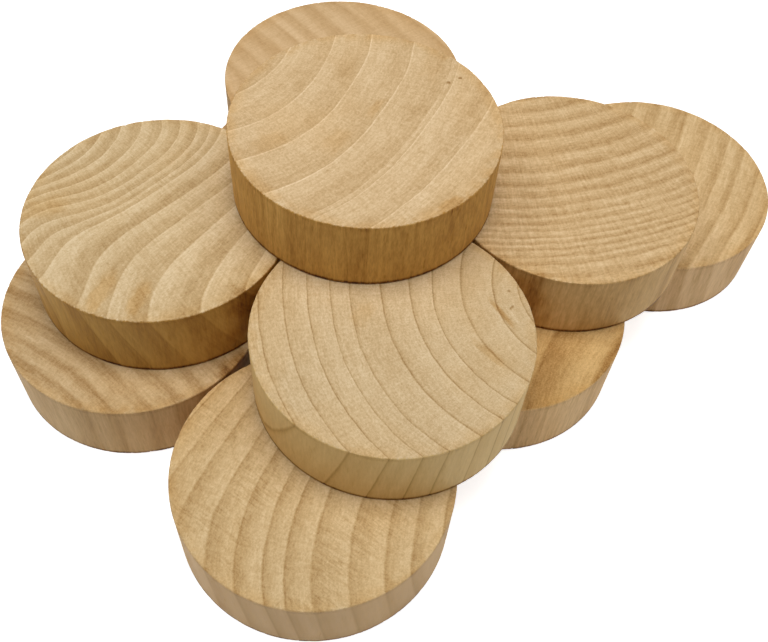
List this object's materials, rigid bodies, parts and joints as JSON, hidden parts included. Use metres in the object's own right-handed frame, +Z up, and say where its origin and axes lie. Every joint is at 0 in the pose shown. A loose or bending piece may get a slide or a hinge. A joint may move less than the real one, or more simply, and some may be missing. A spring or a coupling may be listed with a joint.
{
  "type": "game token",
  "caption": "Loose pile of blank round wooden game tokens, end grain on both faces, lying flat in stepped layers, each a separate disc that lifts off or slides out of the pile.",
  "frame": {"origin": "on the table, under the middle of the pile's outline", "axes": "+Z up out of the table, +Y from the front of the pile to its back, +X to the right, along the pile's longest extent"},
  "size_m": [0.099, 0.0862, 0.0294],
  "materials": {
    "top_wood": "bare end grain, fine sanded, wide growth rings",
    "upper_back_wood": "bare end grain, fine sanded, soft diagonal rings",
    "upper_left_wood": "bare end grain, fine sanded, wavy rings",
    "upper_right_wood": "bare end grain, fine sanded, rings closing up to one side",
    "upper_front_wood": "bare end grain, fine sanded, close crisp rings",
    "lower_left_wood": "bare end grain, fine sanded, broad wavy rings",
    "lower_front_wood": "bare end grain, fine sanded, even crisp rings",
    "lower_right_wood": "bare end grain, fine sanded, broad soft rings",
    "lower_far_wood": "bare end grain, fine sanded, broad soft rings",
    "lower_middle_wood": "bare end grain, fine sanded, even rings"
  },
  "bodies": {
    "lower_middle_token": {"lower_middle_token": "lower_middle_wood"},
    "top_token": {"top_token": "top_wood"},
    "upper_back_token": {"upper_back_token": "upper_back_wood"},
    "upper_left_token": {"upper_left_token": "upper_left_wood"},
    "upper_right_token": {"upper_right_token": "upper_right_wood"},
    "upper_front_token": {"upper_front_token": "upper_front_wood"},
    "lower_left_token": {"lower_left_token": "lower_left_wood"},
    "lower_front_token": {"lower_front_token": "lower_front_wood"},
    "lower_right_token": {"lower_right_token": "lower_right_wood"},
    "lower_far_token": {"lower_far_token": "lower_far_wood"}
  },
  "joints": [
    {"name": "top_token_lift", "type": "slide", "parent": "lower_middle_token", "child": "top_token", "axis": [0, 0, 1], "range_m": [0, 0.03]},
    {"name": "upper_back_token_slide", "type": "slide", "parent": "lower_middle_token", "child": "upper_back_token", "axis": [0, 1, 0], "range_m": [0, 0.006]},
    {"name": "lower_left_token_slide", "type": "slide", "parent": "lower_middle_token", "child": "lower_left_token", "axis": [-1, 0, 0], "range_m": [0, 0.02]},
    {"name": "upper_left_token_slide", "type": "slide", "parent": "lower_left_token", "child": "upper_left_token", "axis": [-0.8988, 0.4384, 0], "range_m": [0, 0.01]},
    {"name": "lower_front_token_slide", "type": "slide", "parent": "lower_middle_token", "child": "lower_front_token", "axis": [0, -1, 0], "range_m": [0, 0.02]},
    {"name": "upper_front_token_slide", "type": "slide", "parent": "lower_front_token", "child": "upper_front_token", "axis": [0, -1, 0], "range_m": [0, 0.016]},
    {"name": "lower_right_token_slide", "type": "slide", "parent": "lower_middle_token", "child": "lower_right_token", "axis": [0.7314, -0.682, 0], "range_m": [0, 0.02]},
    {"name": "upper_right_token_slide", "type": "slide", "parent": "lower_right_token", "child": "upper_right_token", "axis": [0.7604, -0.6494, 0], "range_m": [0, 0.006]},
    {"name": "lower_far_token_slide", "type": "slide", "parent": "lower_middle_token", "child": "lower_far_token", "axis": [0.682, 0.7314, 0], "range_m": [0, 0.02]}
  ]
}
